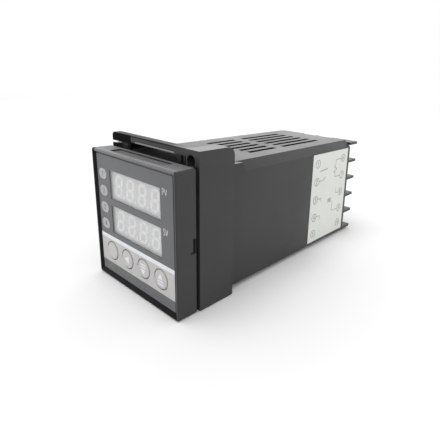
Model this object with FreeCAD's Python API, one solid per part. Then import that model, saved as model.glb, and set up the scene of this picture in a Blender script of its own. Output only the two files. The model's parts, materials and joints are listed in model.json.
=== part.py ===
import FreeCAD, Part
import math
import os

# A 48 x 48 mm panel temperature controller.
# Frame: millimetres, +Z up, origin at the centre of the plane where the case
# flange seats on the panel. The front faces -Y and the case runs along +Y.

# ---------------------------------------------------------------- sizes
# Front bezel
front_overhang = 1.6
bezel_depth = 7.3
bezel_corner_radius = 0.8
bezel_edge_chamfer = 0.35
rim_land = 0.8
recess_depth = 0.9
side_bevel = 1.2
top_bevel = 0.8
bottom_bevel = 1.4
front_wall = 1.6
bezel_wall = 2.4
bezel_shelf = 1.0
skirt_wall = 1.0
skirt_length = 2.4
skirt_clearance = 0.4
seat_gap = 0.1
pry_slot_width = 30.0
pry_slot_length = 4.0
pry_slot_depth = 0.5
pry_slot_from_back = 1.3
release_notch_height = 5.2
release_notch_length = 1.1
release_notch_depth = 1.4
release_foot = 0.9
release_notch_z = -0.4

# Release arms at the two sides of the bezel
arm_half_height = 2.5
arm_thickness = 1.2
arm_length = 13.0
arm_nib = 1.0
arm_barb = 0.2
arm_barb_length = 3.0

# Case
case_size = 44.8
case_depth = 94.4
case_wall = 1.6
flange_lip = 0.8
flange_thickness = 1.0
long_chamfer = 3.0
chamfer_start = 19.4
chamfer_slant = 2.6
lower_edge_radius = 1.0
rear_socket_depth = 6.0
rear_socket_wall = 1.0
vent_count = 6
vent_pitch = 4.6
vent_width = 2.3
front_vent_start = 35.0
front_vent_length = 15.8
vent_group_gap = 4.7
rear_vent_gap = 12.8
catch_depth = 0.5
rail_width = 1.0
rail_height = 1.6
rail_start = 8.0
rail_end_gap = 7.6
rail_clearance = 0.2

# Film, displays and indicators on the front
film_thickness = 0.25
film_clearance = 0.1
window_from_left = 10.25
window_from_right = 8.5
window_from_top = 6.5
window_from_bottom = 18.55
window_gap = 2.4
pane_thickness = 0.5
pane_ledge = 0.6
module_margin = 1.1
module_frame = 0.9
module_clearance = 0.3
segment_relief = 0.1
digit_count = 4
digit_margin = 0.625
digit_spacing = 2.6
digit_end_gap = 1.14
digit_shift = 0.2
digit_slant_deg = 9.0
segment_width = 1.05
segment_gap = 0.12
point_radius = 0.6
indicator_count = 4
indicator_window_gap = 2.35
indicator_rise = 3.1
indicator_tuck = 0.12
indicator_length = 4.6
indicator_height = 3.4
light_pipe_inset = 0.8
light_pipe_width = 2.4
light_pipe_height = 2.0
light_pipe_gap = 0.5
lens_clearance = 0.1

# Keys and their switches
key_from_side = 9.3
key_from_bottom = 11.1
key_radius = 3.2
key_clearance = 0.3
key_crown = 0.3
key_crown_edge = 0.25
key_flange_spacing = 1.6
key_flange_thickness = 0.8
key_flange_gap = 0.2
key_stem_size = 2.6
key_travel = 0.4
switch_size = 6.0
switch_height = 3.5
plunger_size = 3.0
plunger_height = 1.4
plunger_clearance = 0.2
plunger_bore_depth = 1.2

# Boards
board_thickness = 1.6
display_board_gap = 0.6
display_board_y = 1.3
board_side_gap = 0.2
main_board_wall_gap = 4.6
main_board_edge_gap = 0.5
main_board_rear_gap = 9.0
header_size = 2.5
header_length = 15.2
led_length = 2.4
led_width = 1.5
led_height = 1.4

# Power board parts
core_length = 18.0
core_height = 20.0
core_thickness = 10.0
core_leg = 6.0
core_window = 4.0
core_yoke = 4.0
core_center_y = 22.0
core_center_z = -7.0
core_board_gap = 2.0
coil_clearance = 0.1
coil_edge = 1.0
relay_length = 19.0
relay_width = 15.4
relay_height = 15.2
relay_center_y = 47.0
relay_center_z = 0.0
relay_pitch = 17.0
capacitor_radius = 4.8
capacitor_height = 15.0
capacitor_center_y = 17.0
capacitor_center_z = 11.5
capacitor_pitch = 11.0
varistor_radius = 4.5
varistor_thickness = 4.0
varistor_lead = 1.0
varistor_center_z = 6.0
rectifier_length = 8.2
rectifier_width = 6.4
rectifier_height = 3.4
rectifier_center_z = -7.0

# Logic board parts
processor_size = 14.0
processor_height = 1.8
processor_center_y = 26.0
amplifier_length = 19.0
amplifier_width = 6.4
amplifier_height = 3.6
amplifier_center_y = 52.0
memory_length = 5.0
memory_width = 4.0
memory_height = 1.7
memory_center_y = 40.0
crystal_length = 11.0
crystal_width = 4.6
crystal_height = 3.6
crystal_edge = 1.2
crystal_center_y = 26.0
crystal_center_z = 13.0
smoothing_count = 2
smoothing_radius = 3.0
smoothing_height = 8.0
smoothing_pitch = 9.0

# Rear terminals
terminal_rows = 5
terminal_inset = 6.0
block_clearance = 0.1
barrier_depth = 6.6
barrier_thickness = 1.2
barrier_top_gap = 0.9
barrier_bottom_gap = 0.2
divider_inset = 13.0
divider_thickness = 1.4
spine_thickness = 1.4
screw_radius = 1.5
screw_length = 5.0
screw_tip_gap = 0.5
screw_head_radius = 2.9
screw_head_height = 2.1
driver_slot_width = 0.8
driver_slot_length = 3.4
driver_slot_depth = 1.1
screw_opening = 3.2
screw_pocket = 3.6
clamp_size = 6.2
clamp_thickness = 0.8
contact_thickness = 0.8
contact_plate_inner_inset = 11.0
contact_plate_outer_inset = 2.4
contact_plate_height = 6.4
contact_stem_width = 0.6
contact_height = 3.0
contact_leaf_width = 0.4
contact_leaf_reach = 6.6
contact_jog_gap = 0.6
contact_board_gap = 0.15
contact_slot_clearance = 0.1

# Side label
label_thickness = 0.1
label_length = 29.0
label_rear_gap = 1.9
label_bottom_gap = 1.6
label_top_gap = 3.2

# Panel bracket
bracket_depth = 14.6
bracket_gap = 0.1
bracket_clearance = 0.3
bracket_side_wall = 1.6
bracket_bottom_wall = 1.0
bracket_left_rise = 2.2
bracket_right_rise = 6.1
bracket_wall_radius = 3.0
bracket_lip_width = 4.4
bracket_lip_taper = 1.6
bar_depth = 3.0
bar_height = 2.3
nose_length = 12.3
bar_rib_reach = 0.05
bar_rib_height = 0.4
bar_rib_length = 21.8
nose_lift = 0.9
nose_chamfer = 0.8
block_width = 10.4
block_recess = 1.2
boss_width = 4.7
block_rib_width = 0.6
block_rib_pitch = 2.0
bracket_hole_inset = 2.25
bracket_hole_rise = 2.7
bracket_hole_radius = 1.85
roof_left_gap = 3.7
roof_thickness = 1.3
web_thickness = 1.3
roof_rise_front = 5.3
roof_rise_rear = 1.6

# Modelling allowances: how far a cutting shape runs past a face, and how near
# an edge must lie to a plane to count as lying in it
past = 1.0
near = 0.01

# ---------------------------------------------------------------- places
case_half = case_size / 2
case_inner = case_half - case_wall
bezel_back = -flange_thickness - seat_gap
bezel_front = bezel_back - bezel_depth
front_size = case_size + 2 * front_overhang
front_half = front_size / 2
flange_half = case_half + flange_lip
floor_y = bezel_front + recess_depth
wall_back = floor_y + front_wall
film_front = floor_y - film_thickness
recess_side = front_half - rim_land - side_bevel
recess_top = front_half - rim_land - top_bevel
recess_bottom = -front_half + rim_land + bottom_bevel
skirt_outer = case_inner - skirt_clearance
skirt_inner = skirt_outer - skirt_wall
skirt_end = bezel_back + skirt_length
inner_chamfer = long_chamfer - case_wall * (2 - math.sqrt(2))
rear_vent_start = front_vent_start + front_vent_length + vent_group_gap
rear_vent_length = case_depth - rear_vent_gap - rear_vent_start
window_width = front_size - window_from_left - window_from_right
window_height = (front_size - window_from_top - window_from_bottom - window_gap) / 2
window_x = (window_from_left - window_from_right) / 2
window_pitch = window_height + window_gap
upper_window_z = front_half - window_from_top - window_height / 2
lower_window_z = upper_window_z - window_pitch
module_height = window_height + 2 * module_frame
digit_pitch = (window_width - 2 * digit_margin) / digit_count
digit_width = digit_pitch - digit_spacing
digit_height = window_height - 2 * digit_end_gap
indicator_x = -front_half + window_from_left - indicator_window_gap - indicator_length / 2
indicator_top_z = upper_window_z + indicator_rise
indicator_pitch = window_pitch / 2 - indicator_tuck
light_pipe_x = indicator_x + light_pipe_inset
light_pipe_end = display_board_y - led_height - light_pipe_gap
key_z = -front_half + key_from_bottom
key_names = ["set_key", "shift_key", "down_key", "up_key"]
plunger_names = ["set_plunger", "shift_plunger", "down_plunger", "up_plunger"]
key_pitch = (front_size - 2 * key_from_side) / (len(key_names) - 1)
key_flange_size = key_pitch - key_flange_spacing
board_back = display_board_y + board_thickness
display_board_half = case_inner - display_board_gap
main_board_x = case_inner - main_board_wall_gap
main_board_half = case_inner - main_board_edge_gap
main_board_rear = case_depth - main_board_rear_gap
contact_leaf_start = main_board_rear - contact_leaf_reach
rear_parts_y = (relay_center_y + relay_length / 2 + contact_leaf_start) / 2
board_inner = main_board_x - board_thickness / 2
pane_back = floor_y + pane_thickness
module_front = pane_back + seat_gap + segment_relief
bracket_front = bracket_gap
bracket_back = bracket_front + bracket_depth
bracket_inner = case_half + bracket_clearance
bracket_outer = bracket_inner + bracket_side_wall
bracket_left_top = bracket_inner + bracket_left_rise
bracket_right_top = bracket_inner + bracket_right_rise
bar_bottom = bracket_right_top - bar_height
bar_back = bracket_front + bar_depth
bar_left = -bracket_outer + nose_length
block_left = bracket_inner - block_width
boss_left = bracket_inner - boss_width
roof_left = -bracket_inner + roof_left_gap
terminal_span = case_size - barrier_thickness - barrier_top_gap - barrier_bottom_gap
terminal_pitch = terminal_span / terminal_rows
terminal_center_z = (barrier_bottom_gap - barrier_top_gap) / 2
terminal_x = case_half - terminal_inset
divider_x = case_half - divider_inset
contact_plate_inner_x = case_half - contact_plate_inner_inset
contact_plate_outer_x = case_half - contact_plate_outer_inset
contact_jog_y = main_board_rear + contact_jog_gap
label_end = case_depth - label_rear_gap


# ---------------------------------------------------------------- helpers
def box(x_low, x_high, y_low, y_high, z_low, z_high):
    corner = FreeCAD.Vector(x_low, y_low, z_low)
    return Part.makeBox(x_high - x_low, y_high - y_low, z_high - z_low, corner)


def rod(x, y_low, y_high, z, radius):
    """Round bar along Y."""
    axis = FreeCAD.Vector(0, 1, 0)
    return Part.makeCylinder(radius, y_high - y_low, FreeCAD.Vector(x, y_low, z), axis)


def post(x_low, x_high, y, z, radius):
    """Round bar along X."""
    axis = FreeCAD.Vector(1, 0, 0)
    return Part.makeCylinder(radius, x_high - x_low, FreeCAD.Vector(x_low, y, z), axis)


def closed_wire(points):
    return Part.makePolygon(points + [points[0]])


def plate_y(outline, y_low, y_high):
    """Solid from an outline of (x, z) points, extruded along Y."""
    wire = closed_wire([FreeCAD.Vector(x, y_low, z) for x, z in outline])
    return Part.Face(wire).extrude(FreeCAD.Vector(0, y_high - y_low, 0))


def plate_x(outline, x_low, x_high):
    """Solid from an outline of (y, z) points, extruded along X."""
    wire = closed_wire([FreeCAD.Vector(x_low, y, z) for y, z in outline])
    return Part.Face(wire).extrude(FreeCAD.Vector(x_high - x_low, 0, 0))


def oval_y(x, z, length, height, y_low, y_high):
    """Oval bar along Y, longer in X."""
    radius = height / 2
    reach = (length - height) / 2
    shape = box(x - reach, x + reach, y_low, y_high, z - radius, z + radius)
    shape = shape.fuse(rod(x - reach, y_low, y_high, z, radius))
    return shape.fuse(rod(x + reach, y_low, y_high, z, radius)).removeSplitter()


def chamfered_square(half, chamfer):
    """Square outline in (x, z) with its two upper corners cut at 45 degrees."""
    return [(-half, -half), (half, -half), (half, half - chamfer),
            (half - chamfer, half), (-half + chamfer, half), (-half, half - chamfer)]


def fused(pieces):
    shape = pieces[0].multiFuse(pieces[1:]) if len(pieces) > 1 else pieces[0]
    return shape.removeSplitter()


def mirrored_x(shape):
    return shape.mirror(FreeCAD.Vector(0, 0, 0), FreeCAD.Vector(1, 0, 0))


def edges_where(shape, test):
    return [edge for edge in shape.Edges if test(edge.BoundBox)]


def row_heights():
    """Heights of the terminal rows, top row first."""
    return [terminal_center_z + ((terminal_rows - 1) / 2 - row) * terminal_pitch
            for row in range(terminal_rows)]


def key_places():
    return [(index - 1.5) * key_pitch for index in range(len(key_names))]


def indicator_heights():
    return [indicator_top_z - row * indicator_pitch for row in range(indicator_count)]


# ---------------------------------------------------------------- case body
def make_case():
    outer = box(-case_half, case_half, 0, case_depth, -case_half, case_half)
    lower = edges_where(outer, lambda b: b.YLength > case_depth / 2 and b.ZMax < 0)
    outer = outer.makeFillet(lower_edge_radius, lower)
    outer = outer.cut(upper_edge_cut()).cut(mirrored_x(upper_edge_cut()))
    flange = box(-flange_half, flange_half, -flange_thickness, 0, -flange_half, flange_half)
    cavity = plate_y(chamfered_square(case_inner, inner_chamfer), -flange_thickness, case_depth)
    socket_half = case_half - rear_socket_wall
    socket = plate_y(chamfered_square(socket_half, inner_chamfer + rear_socket_wall / 2),
                     case_depth - rear_socket_depth, case_depth)
    shell = outer.fuse(flange).cut(cavity).cut(socket)
    shell = shell.fuse(board_rails())
    for x in (-1, 1):
        reach = sorted([x * (case_inner - past), x * (case_inner + catch_depth)])
        catch_end = display_board_y + arm_length + catch_depth
        catch_start = catch_end - arm_barb_length - 2 * catch_depth
        shell = shell.cut(box(reach[0], reach[1], catch_start, catch_end,
                              -arm_half_height - catch_depth, arm_half_height + catch_depth))
    return shell.cut(vents()).removeSplitter()


def upper_edge_cut():
    """Long cut along the upper right edge, with a slanted front end."""
    outside = case_half + long_chamfer / 2
    low = case_half - long_chamfer
    front = closed_wire([FreeCAD.Vector(low, chamfer_start, case_half),
                         FreeCAD.Vector(case_half, chamfer_start + chamfer_slant, low),
                         FreeCAD.Vector(outside, chamfer_start + chamfer_slant / 2, outside)])
    rear = closed_wire([FreeCAD.Vector(low, case_depth, case_half),
                        FreeCAD.Vector(case_half, case_depth, low),
                        FreeCAD.Vector(outside, case_depth, outside)])
    return Part.makeLoft([front, rear], True, True)


def board_rails():
    """Two ribs above and two below each main board, with the board between them."""
    rails = []
    groove = board_thickness / 2 + rail_clearance
    rail_end = main_board_rear - rail_end_gap
    for side in (-1, 1):
        for offset in (-groove - rail_width, groove):
            x_low = side * main_board_x + offset
            for z_low in (-case_inner, case_inner - rail_height):
                rails.append(box(x_low, x_low + rail_width, rail_start, rail_end,
                                 z_low, z_low + rail_height))
    return Part.makeCompound(rails)


def vents():
    """Two groups of slots through the top wall, repeated in the bottom wall."""
    slots = []
    groups = [(front_vent_start, front_vent_length), (rear_vent_start, rear_vent_length)]
    for start, length in groups:
        for index in range(vent_count):
            x = (index - (vent_count - 1) / 2) * vent_pitch
            for z_low in (-case_half - past, case_inner - past):
                slots.append(box(x - vent_width / 2, x + vent_width / 2, start, start + length,
                                 z_low, z_low + case_wall + 2 * past))
    return Part.makeCompound(slots)


def make_terminal_block():
    half = case_half - rear_socket_wall - block_clearance
    base = plate_y(chamfered_square(half, inner_chamfer + rear_socket_wall / 2),
                   case_depth - rear_socket_depth + block_clearance, case_depth)
    tip = case_depth + barrier_depth
    pieces = [base]
    top = case_half - barrier_top_gap
    bottom = -case_half + barrier_bottom_gap
    for row in range(terminal_rows + 1):
        z_low = bottom + row * terminal_pitch
        z_high = z_low + barrier_thickness
        pieces.append(box(divider_x, case_half, case_depth, tip, z_low, z_high))
        pieces.append(box(-case_half, -divider_x, case_depth, tip, z_low, z_high))
    for x in (-divider_x, divider_x):
        pieces.append(box(x - divider_thickness / 2, x + divider_thickness / 2,
                          case_depth, tip, bottom, top))
    pieces.append(box(-spine_thickness / 2, spine_thickness / 2, case_depth, tip, bottom, top))
    block = fused(pieces)
    holes = []
    for side in (-1, 1):
        for z in row_heights():
            holes.append(box(side * terminal_x - screw_pocket / 2, side * terminal_x + screw_pocket / 2,
                             case_depth - screw_length, case_depth + past,
                             z - screw_pocket / 2, z + screw_pocket / 2))
            stem = [side * contact_plate_inner_x,
                    side * (contact_plate_inner_x + contact_stem_width)]
            holes.append(box(min(stem) - contact_slot_clearance, max(stem) + contact_slot_clearance,
                             case_depth - rear_socket_depth - past, case_depth + past,
                             z - contact_height / 2 - contact_slot_clearance,
                             z + contact_height / 2 + contact_slot_clearance))
    return block.cut(Part.makeCompound(holes))


def make_terminal_contacts():
    """Screw plate with a square opening, stem through the block, spring leaf at the board edge."""
    contacts = []
    leaf_outer = board_inner - contact_board_gap
    leaf_inner = leaf_outer - contact_leaf_width
    half = screw_opening / 2
    for z in row_heights():
        low = z - contact_height / 2
        high = z + contact_height / 2
        plate = box(contact_plate_inner_x, contact_plate_outer_x, case_depth,
                    case_depth + contact_thickness,
                    z - contact_plate_height / 2, z + contact_plate_height / 2)
        stem = box(contact_plate_inner_x, contact_plate_inner_x + contact_stem_width,
                   contact_jog_y, case_depth, low, high)
        jog_end = contact_jog_y + contact_stem_width
        jog = box(contact_plate_inner_x, leaf_outer, contact_jog_y, jog_end, low, high)
        leaf = box(leaf_inner, leaf_outer, contact_leaf_start, jog_end, low, high)
        contact = fused([plate, stem, jog, leaf])
        contact = contact.cut(box(terminal_x - half, terminal_x + half, case_depth - past,
                                  case_depth + contact_thickness + past, z - half, z + half))
        contacts += [contact, mirrored_x(contact)]
    return Part.makeCompound(contacts)


def make_terminal_clamps():
    """Square clamp plates, each with a square opening, under the screw heads."""
    y_low = case_depth + contact_thickness
    half = clamp_size / 2
    opening = screw_opening / 2
    clamps = []
    for side in (-1, 1):
        for z in row_heights():
            x = side * terminal_x
            clamp = box(x - half, x + half, y_low, y_low + clamp_thickness, z - half, z + half)
            clamps.append(clamp.cut(box(x - opening, x + opening,
                                        y_low - past, y_low + clamp_thickness + past,
                                        z - opening, z + opening)))
    return Part.makeCompound(clamps)


def make_terminal_screws():
    """Pan head screws with a cross recess."""
    head_y = case_depth + contact_thickness + clamp_thickness
    top_y = head_y + screw_head_height
    screws = []
    for side in (-1, 1):
        for z in row_heights():
            x = side * terminal_x
            head = rod(x, head_y, top_y, z, screw_head_radius)
            shank = rod(x, case_depth - screw_length + screw_tip_gap, head_y, z, screw_radius)
            slot = driver_slot_width / 2
            reach = driver_slot_length / 2
            depth = top_y - driver_slot_depth
            recess = box(x - reach, x + reach, depth, top_y + past, z - slot, z + slot)
            recess = recess.fuse(box(x - slot, x + slot, depth, top_y + past, z - reach, z + reach))
            screws.append(head.fuse(shank).cut(recess).removeSplitter())
    return Part.makeCompound(screws)


def make_side_label():
    return box(case_half, case_half + label_thickness, label_end - label_length, label_end,
               -case_half + label_bottom_gap, case_half - label_top_gap)


# ---------------------------------------------------------------- bracket
def make_bracket():
    """Collar round the case with a sprung bar across its top."""
    walls = box(-bracket_outer, bracket_outer, bracket_front, bracket_back,
                -bracket_inner - bracket_bottom_wall, bracket_left_top)
    inside = box(-bracket_inner, bracket_inner, bracket_front - past, bracket_back + past,
                 -bracket_inner, bracket_left_top + past)
    walls = walls.cut(inside)
    boss = box(boss_left, bracket_outer, bracket_front, bracket_back,
               bracket_inner, bracket_right_top)
    corner = edges_where(boss, lambda b: b.YMin > bracket_back - near
                         and b.ZMin > bracket_right_top - near)
    boss = boss.makeFillet(bracket_wall_radius, corner)
    lip = plate_y([(-bracket_outer, bracket_inner), (-bracket_outer, bracket_left_top),
                   (-bracket_outer + bracket_lip_width - bracket_lip_taper, bracket_left_top),
                   (-bracket_outer + bracket_lip_width, bracket_inner)],
                  bracket_front, bracket_back)
    bar = box(bar_left, boss_left, bracket_front, bar_back, bar_bottom, bracket_right_top)
    rib = box(block_left - bar_rib_length, block_left, bracket_front - bar_rib_reach, bar_back,
              bar_bottom, bar_bottom + bar_rib_height)
    nose_bottom = bracket_left_top + nose_lift
    nose = plate_y([(-bracket_outer, nose_bottom),
                    (-bracket_outer, bracket_right_top - nose_chamfer),
                    (-bracket_outer + nose_chamfer, bracket_right_top),
                    (bar_left, bracket_right_top), (bar_left, nose_bottom)],
                   bracket_front, bar_back)
    block = box(block_left, boss_left, bracket_front + block_recess, bar_back,
                bracket_inner, bar_bottom)
    ribs = [box(x, x + block_rib_width, bracket_front + block_recess / 2,
                bracket_front + block_recess, bracket_inner, bar_bottom)
            for x in (block_left + block_rib_pitch, block_left + 2 * block_rib_pitch)]
    shape = fused([walls, boss, lip, bar, rib, nose, block] + bracket_roof() + ribs)
    hole = rod(bracket_inner - bracket_hole_inset, bracket_front - past, bracket_back + past,
               bracket_inner + bracket_hole_rise, bracket_hole_radius)
    return shape.cut(hole)


def bracket_roof():
    """Sloping roof behind the bar, with a web under its left end."""
    front = bracket_inner + roof_rise_front
    rear = bracket_inner + roof_rise_rear
    slope = [(bar_back, front), (bracket_back, rear),
             (bracket_back, rear - roof_thickness), (bar_back, front - roof_thickness)]
    web = [(bar_back, front), (bracket_back, rear),
           (bracket_back, bracket_inner), (bar_back, bracket_inner)]
    return [plate_x(slope, roof_left, boss_left),
            plate_x(web, roof_left, roof_left + web_thickness)]


# ---------------------------------------------------------------- chassis
def make_bezel():
    body = box(-front_half, front_half, bezel_front, bezel_back, -front_half, front_half)
    corners = edges_where(body, lambda b: b.YLength > bezel_depth / 2)
    body = body.makeFillet(bezel_corner_radius, corners)
    rim = edges_where(body, lambda b: b.YMax < bezel_front + near)
    body = body.makeChamfer(bezel_edge_chamfer, rim)
    body = body.cut(front_recess())
    half = front_half - bezel_wall
    body = body.cut(box(-half, half, wall_back, bezel_back - bezel_shelf, -half, half))
    body = body.cut(plate_y(chamfered_square(skirt_inner, inner_chamfer),
                            wall_back, bezel_back + past))
    skirt = plate_y(chamfered_square(skirt_outer, inner_chamfer), bezel_back, skirt_end)
    skirt = skirt.cut(plate_y(chamfered_square(skirt_inner, inner_chamfer),
                              bezel_back - past, skirt_end + past))
    body = body.fuse(skirt)
    for arm in (release_arm(), mirrored_x(release_arm())):
        body = body.fuse(arm)
    body = body.cut(front_openings()).cut(pry_slot())
    for notch in (release_notch(), mirrored_x(release_notch())):
        body = body.cut(notch)
    return body.removeSplitter()


def front_recess():
    """Shallow tray in the front face with bevelled sides."""
    outer = front_half - rim_land

    def frame_wire(y, side, low, high):
        return closed_wire([FreeCAD.Vector(-side, y, low), FreeCAD.Vector(side, y, low),
                            FreeCAD.Vector(side, y, high), FreeCAD.Vector(-side, y, high)])

    mouth = frame_wire(bezel_front, outer, -outer, outer)
    floor = frame_wire(floor_y, recess_side, recess_bottom, recess_top)
    return Part.makeLoft([mouth, floor], True, True)


def front_openings():
    """Openings behind the film for the displays, the indicators and the keys."""
    cuts = [pane_outline(film_clearance, floor_y - past, pane_back),
            module_opening(floor_y - past, wall_back + past)]
    for z in indicator_heights():
        cuts.append(light_pipe(z, lens_clearance, floor_y - past, wall_back + past))
    for x in key_places():
        cuts.append(rod(x, floor_y - past, wall_back + past, key_z, key_radius + key_clearance))
    return Part.makeCompound(cuts)


def light_pipe(z, grow, y_low, y_high):
    half_x = light_pipe_width / 2 + grow
    half_z = light_pipe_height / 2 + grow
    return box(light_pipe_x - half_x, light_pipe_x + half_x, y_low, y_high,
               z - half_z, z + half_z)


def module_half_width():
    return window_width / 2 + module_margin


def module_opening(y_low, y_high):
    half = module_half_width() + module_clearance
    low = lower_window_z - module_height / 2 - module_clearance
    high = upper_window_z + module_height / 2 + module_clearance
    return box(window_x - half, window_x + half, y_low, y_high, low, high)


def pane_outline(grow, y_low, y_high):
    reach = module_clearance + pane_ledge + grow
    half = module_half_width() + reach
    low = lower_window_z - module_height / 2 - reach
    high = upper_window_z + module_height / 2 + reach
    return box(window_x - half, window_x + half, y_low, y_high, low, high)


def pry_slot():
    """Shallow finger recess across the top of the bezel."""
    y_high = bezel_back - pry_slot_from_back
    half = pry_slot_width / 2
    return box(-half, half, y_high - pry_slot_length, y_high,
               front_half - pry_slot_depth, front_half + past)


def release_notch():
    """Notch for a blade at the rear edge of the bezel's side, with a foot at its bottom."""
    low = release_notch_z - release_notch_height / 2
    high = release_notch_z + release_notch_height / 2
    x_low = front_half - release_notch_depth
    slot = box(x_low, front_half + past, bezel_back - release_notch_length,
               bezel_back + past, low, high)
    foot = box(x_low, front_half + past, bezel_back - release_notch_length - release_foot,
               bezel_back, low, low + release_foot)
    return slot.fuse(foot)


def release_arm():
    """Side arm that passes the display board, holds it and reaches into the case."""
    x_high = skirt_outer
    x_low = x_high - arm_thickness
    end = display_board_y + arm_length
    arm = box(x_low, x_high, bezel_back - bezel_shelf, end, -arm_half_height, arm_half_height)
    nib_y = board_back + seat_gap
    nib = plate_profile([(x_low - arm_nib, nib_y), (x_low, nib_y),
                         (x_low, nib_y + 2 * arm_nib)])
    barb = plate_profile([(x_high, end - arm_barb_length), (x_high + arm_barb, end - arm_barb),
                          (x_high + arm_barb, end), (x_high, end)])
    return fused([arm, nib, barb])


def plate_profile(outline):
    """Solid from an outline of (x, y) points, as high as a release arm."""
    wire = closed_wire([FreeCAD.Vector(x, y, -arm_half_height) for x, y in outline])
    return Part.Face(wire).extrude(FreeCAD.Vector(0, 0, 2 * arm_half_height))


def make_film():
    """Printed front film with its windows and key openings."""
    film = box(-recess_side + film_clearance, recess_side - film_clearance,
               film_front, floor_y, recess_bottom + film_clearance, recess_top - film_clearance)
    cuts = []
    half_x = window_width / 2
    half_z = window_height / 2
    for z in (upper_window_z, lower_window_z):
        cuts.append(box(window_x - half_x, window_x + half_x,
                        film_front - past, floor_y + past, z - half_z, z + half_z))
    for z in indicator_heights():
        cuts.append(oval_y(indicator_x, z, indicator_length, indicator_height,
                           film_front - past, floor_y + past))
    for x in key_places():
        cuts.append(rod(x, film_front - past, floor_y + past, key_z, key_radius + key_clearance / 2))
    return film.cut(Part.makeCompound(cuts))


def make_window_pane():
    return pane_outline(0, floor_y, pane_back)


def make_indicator_lenses():
    """Oval lenses in the film, each with a light pipe back to its LED."""
    lenses = []
    for z in indicator_heights():
        head = oval_y(indicator_x, z, indicator_length - lens_clearance,
                      indicator_height - lens_clearance, film_front, floor_y)
        lenses.append(head.fuse(light_pipe(z, 0, floor_y, light_pipe_end)))
    return Part.makeCompound(lenses)


def make_display(center_z):
    half = module_half_width()
    return box(window_x - half, window_x + half, module_front, display_board_y,
               center_z - module_height / 2, center_z + module_height / 2)


def segment_outlines():
    """Seven six-sided bars of one upright digit, round its centre."""
    reach_x = (digit_width - segment_width) / 2
    reach_z = (digit_height - segment_width) / 2
    half = segment_width / 2
    gap = segment_gap

    def flat(z):
        left = -reach_x + gap
        right = reach_x - gap
        return [(left, z), (left + half, z + half), (right - half, z + half),
                (right, z), (right - half, z - half), (left + half, z - half)]

    def upright(x, low, high):
        low = low + gap
        high = high - gap
        return [(x, low), (x + half, low + half), (x + half, high - half),
                (x, high), (x - half, high - half), (x - half, low + half)]

    bars = [flat(reach_z), flat(0), flat(-reach_z)]
    for x in (-reach_x, reach_x):
        bars += [upright(x, 0, reach_z), upright(x, -reach_z, 0)]
    return bars


def make_segments(center_z):
    """Raised faces of the lit segments and points of one display."""
    lean = math.tan(math.radians(digit_slant_deg))
    y_low = module_front - segment_relief
    solids = []
    for index in range(digit_count):
        x = window_x + (index - (digit_count - 1) / 2) * digit_pitch + digit_shift
        for outline in segment_outlines():
            leaning = [(x + px + pz * lean, center_z + pz) for px, pz in outline]
            solids.append(plate_y(leaning, y_low, module_front))
        point_x = x + digit_width / 2 + point_radius
        point_z = center_z - digit_height / 2 + point_radius
        corners = [math.radians(60 * step) for step in range(6)]
        point = [(point_x + point_radius * math.cos(a), point_z + point_radius * math.sin(a))
                 for a in corners]
        solids.append(plate_y(point, y_low, module_front))
    return Part.makeCompound(solids)


def make_display_board():
    board = plate_y(chamfered_square(display_board_half, inner_chamfer), display_board_y, board_back)
    notch_x = skirt_outer - arm_thickness - board_side_gap
    notch = box(notch_x, display_board_half + past, display_board_y - past, board_back + past,
                -arm_half_height - board_side_gap, arm_half_height + board_side_gap)
    return board.cut(notch).cut(mirrored_x(notch))


def make_indicator_leds():
    """Small surface-mounted LEDs on the display board, one behind each light pipe."""
    half_x = led_length / 2
    half_z = led_width / 2
    return Part.makeCompound([box(light_pipe_x - half_x, light_pipe_x + half_x,
                                  display_board_y - led_height, display_board_y,
                                  z - half_z, z + half_z) for z in indicator_heights()])


def make_key(x):
    """Round key cap with a square flange behind the bezel wall, which keeps it in."""
    top = film_front - key_crown
    cap = rod(x, top, wall_back + key_flange_gap, key_z, key_radius)
    crown = edges_where(cap, lambda b: b.YMax < top + near)
    cap = cap.makeChamfer(key_crown_edge, crown)
    flange_y = wall_back + key_flange_gap
    flange = square_bar(x, flange_y, flange_y + key_flange_thickness, key_flange_size)
    stem = square_bar(x, flange_y, plunger_tip(), key_stem_size)
    return fused([cap, flange, stem])


def square_bar(x, y_low, y_high, size):
    """Square bar along Y, centred on a key."""
    half = size / 2
    return box(x - half, x + half, y_low, y_high, key_z - half, key_z + half)


def switch_front():
    return display_board_y - switch_height


def plunger_tip():
    return switch_front() - plunger_height


def make_plunger(x):
    foot = switch_front() + plunger_bore_depth - key_travel - plunger_clearance
    return square_bar(x, plunger_tip(), foot, plunger_size)


def make_key_switches():
    switches = []
    for x in key_places():
        body = square_bar(x, switch_front(), display_board_y, switch_size)
        bore = square_bar(x, switch_front() - past, switch_front() + plunger_bore_depth,
                          plunger_size + 2 * plunger_clearance)
        switches.append(body.cut(bore))
    return Part.makeCompound(switches)


def make_main_board(side):
    x_low = side * main_board_x - board_thickness / 2
    return box(x_low, x_low + board_thickness, board_back, main_board_rear,
               -main_board_half, main_board_half)


def make_board_headers():
    half = header_length / 2
    header = box(board_inner - header_size, board_inner, board_back, board_back + header_size,
                 -half, half)
    return Part.makeCompound([header, mirrored_x(header)])


def core_window_boxes(x_low, x_high):
    """The two winding windows of the core."""
    windows = []
    for side in (-1, 1):
        inner = core_center_y + side * core_leg / 2
        outer = core_center_y + side * (core_leg / 2 + core_window)
        y_low = min(inner, outer)
        y_high = max(inner, outer)
        reach = core_height / 2 - core_yoke
        windows.append(box(x_low, x_high, y_low, y_high,
                           core_center_z - reach, core_center_z + reach))
    return windows


def make_transformer_core():
    x_low = -board_inner + core_board_gap
    core = box(x_low, x_low + core_thickness, core_center_y - core_length / 2,
               core_center_y + core_length / 2, core_center_z - core_height / 2,
               core_center_z + core_height / 2)
    for window in core_window_boxes(x_low - past, x_low + core_thickness + past):
        core = core.cut(window)
    return core


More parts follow.
